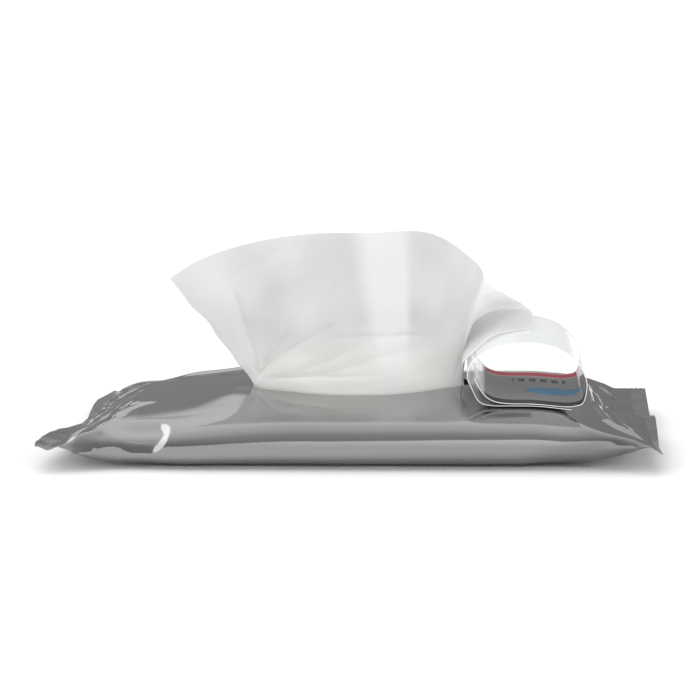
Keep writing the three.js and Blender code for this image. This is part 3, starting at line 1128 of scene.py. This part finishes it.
def label_surface(along, across):
    """The label at a share along its length and a share across it, from the front."""
    y = LABEL_Y + mix(-LABEL_HALF_WIDTH, LABEL_HALF_WIDTH, across)
    skew = mix(LABEL_SKEW / 2, -LABEL_SKEW / 2, across)
    x = np.interp(along, path_at, path_line[:, 0]) + skew
    z = np.interp(along, path_at, path_line[:, 1])
    settle = 1 - smooth(z, FULL_HEIGHT + 2, FULL_HEIGHT + 9)
    rim = RIM_RISE * settle * (1 - smooth(across, 0, 0.03))
    return np.column_stack([x, y, z + rim - settle * (FULL_HEIGHT - top_surface(x, y))])


label = grid("reseal_label_loop", 240, 40)
move_points(label, label_surface(*shares(label)) * MM)
apply_modifier(label, "SOLIDIFY", thickness=LABEL_THICKNESS * MM, offset=0.0)
print("label faces:", len(label.data.polygons))

# %% [markdown]
# The label is clear, with a printed panel near its free end. The print is made of masks on
# the label's own UV map, so that it bends with the film: U runs along the strip and V across
# it, from the front. Each mask is a band with soft edges, and the fields are painted one
# over the other. The last field is no print: the white along both long edges is a painted
# highlight, the glint of the cut edges, and the film is more opaque there. Clear film needs no
# refraction: a low alpha and a gloss are enough.

# %% The label's finish
BAR_PITCH = 0.014
LENS_CENTRE = (0.775, 0.40)
LENS_HALF = (0.075, 0.105)

label_finish = bpy.data.materials.new("clear_printed_label")
shader = Shader(label_finish)
u, v, _ = shader.parts(shader.coordinates("UV"))
panel = u.band(0.680, 0.683, 0.955, 0.958)
red = v.over(0.855, 0.862) * panel
pink = v.band(0.83, 0.837, 0.855, 0.862) * panel
dark = v.band(0.03, 0.035, 0.12, 0.135) * panel
strokes = shader.node("ShaderNodeMath", dict(operation="PINGPONG"), [u, BAR_PITCH])
bars = v.band(0.66, 0.67, 0.76, 0.77) * panel * strokes.over(0.005, 0.006)
bars = bars * u.band(0.74, 0.745, 0.875, 0.88)
lens_u = (u - LENS_CENTRE[0]) / LENS_HALF[0]
lens_v = (v - LENS_CENTRE[1]) / LENS_HALF[1]
lens = 1 - (lens_u * lens_u + lens_v * lens_v).over(0.9, 1.0)
# painted highlight: the white glint along both cut edges of the label
edge = 1 - v.band(0.018, 0.022, 0.986, 0.990)

tone = shader.blend((0.66, 0.69, 0.72, 1), grey(0.24), panel)
for field, colour in (
    (bars, grey(0.02)),
    (lens * panel, (0.05, 0.2, 0.34, 1)),
    (pink, (0.6, 0.28, 0.34, 1)),
    (red, (0.42, 0.01, 0.035, 1)),
    (dark, grey(0.012)),
    (edge, grey(0.95)),
):
    tone = shader.blend(tone, colour, field)
shader.finish(
    Base_Color=tone,
    Roughness=0.12,
    # the edge term makes the painted highlight along the edges more opaque
    Alpha=0.36 + panel * 0.6 + edge * (1 - panel) * 0.5,
    IOR=1.5,
    Specular_IOR_Level=0.1,
)
shade(label, label_finish, 50)
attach(label, "root")
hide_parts("reseal_label")
print("nodes in the label's finish:", len(shader.tree.nodes))

# %% [markdown]
# ## The floor
#
# The pack stands on a white table. A dull white plane catches its soft contact shadow. It is
# far larger than the view, so that no edge of it shows, also in the film's reflections.

# %% Lay the floor
bpy.ops.object.select_all(action="DESELECT")
bpy.ops.mesh.primitive_plane_add(size=12, location=(0, 0, 0))
floor = bpy.context.object
floor.name = "floor"
floor_finish = bpy.data.materials.new("white_table")
Shader(floor_finish).finish(Base_Color=grey(0.9), Roughness=0.9, Specular_IOR_Level=0.1)
floor.data.materials.append(floor_finish)
print("floor, metres:", floor.dimensions.x, "square")

# %% [markdown]
# ## What the film reflects
#
# A mirror-like film in an even white room would look flat. So the room that it reflects is
# bright above and behind the pack and darkens towards the front and the horizon, as the
# unlit part of a studio does. Real walls and lamps could do this too, but a ramp round the
# pack's long axis is one row of numbers that is easy to tune. Two light boxes stand at its
# ends. The camera itself sees plain white, and dull surfaces get an even fill.

# %% The room around the pack
ROOM_RAMP = [
    # share of the half turn from the back (0) over the top to the front (1), brightness
    (0.0, 0.17), (0.03, 0.31), (0.106, 0.36), (0.122, 0.92),
    (0.16, 1.02), (0.19, 1.08), (0.28, 1.09), (0.35, 1.06),
    (0.42, 0.97), (0.5, 0.89), (0.58, 0.82), (0.69, 0.69),
    (0.79, 0.55), (0.90, 0.45), (1.0, 0.39),
]
LEFT_BOX_LIGHT = 2.2
RIGHT_BOX_LIGHT = 2.1
FILL = 0.56

world = bpy.data.worlds.new("studio")
bpy.context.scene.world = world
sky = Shader(world)
east, north, height = sky.parts(sky.coordinates("Generated"))
turn = sky.node("ShaderNodeMath", dict(operation="ARCTAN2"), [height, north]) / math.pi
stops = [(share, grey(brightness)) for share, brightness in ROOM_RAMP]
mirrored = sky.node("ShaderNodeValToRGB", dict(stops=stops), [turn])
below_ceiling = 1 - height.over(0.75, 0.9)
left_box = (0 - east).over(0.45, 0.6) * height.over(-0.03, 0.0) * below_ceiling
right_box = east.over(0.5, 0.6) * height.over(0.1, 0.2) * below_ceiling
mirrored = sky.blend(mirrored, grey(LEFT_BOX_LIGHT), left_box)
mirrored = sky.blend(mirrored, grey(RIGHT_BOX_LIGHT), right_box)
glossy = sky.node("ShaderNodeLightPath", output="Is Glossy Ray")
camera_ray = sky.node("ShaderNodeLightPath", output="Is Camera Ray")
seen = sky.blend(sky.blend(grey(FILL), mirrored, glossy), grey(1.0), camera_ray)
background = sky.node("ShaderNodeBackground", None, dict(Color=seen, Strength=1.0))
sky.node("ShaderNodeOutputWorld", None, [background], None)
print("stops in the room's ramp:", len(stops))

# %% [markdown]
# ## The lights
#
# Four wide suns stand for big soft boxes: one overhead, two at the ends and one at the
# front. They are hidden from glossy rays, because the film mirrors the painted room instead.

# %% Place the lights
LIGHTS = [
    # from, energy, angle
    ((-0.4, 0.2, 0.9), 1.6, 80),
    ((-0.9, -0.25, 0.4), 0.5, 25),
    ((0.2, -1.0, 0.2), 1.25, 60),
    ((1.0, -0.45, 0.25), 1.4, 60),
]
for source, energy, angle in LIGHTS:
    bpy.ops.object.light_add(type="SUN", location=source)
    sun = bpy.context.object
    sun.data.energy = energy
    sun.data.angle = math.radians(angle)
    sun.visible_glossy = False
    sun.rotation_mode = "QUATERNION"
    sun.rotation_quaternion = Vector(source).to_track_quat("Z", "Y")
bpy.context.scene.view_settings.view_transform = "Standard"
print("lights placed:", len(LIGHTS))
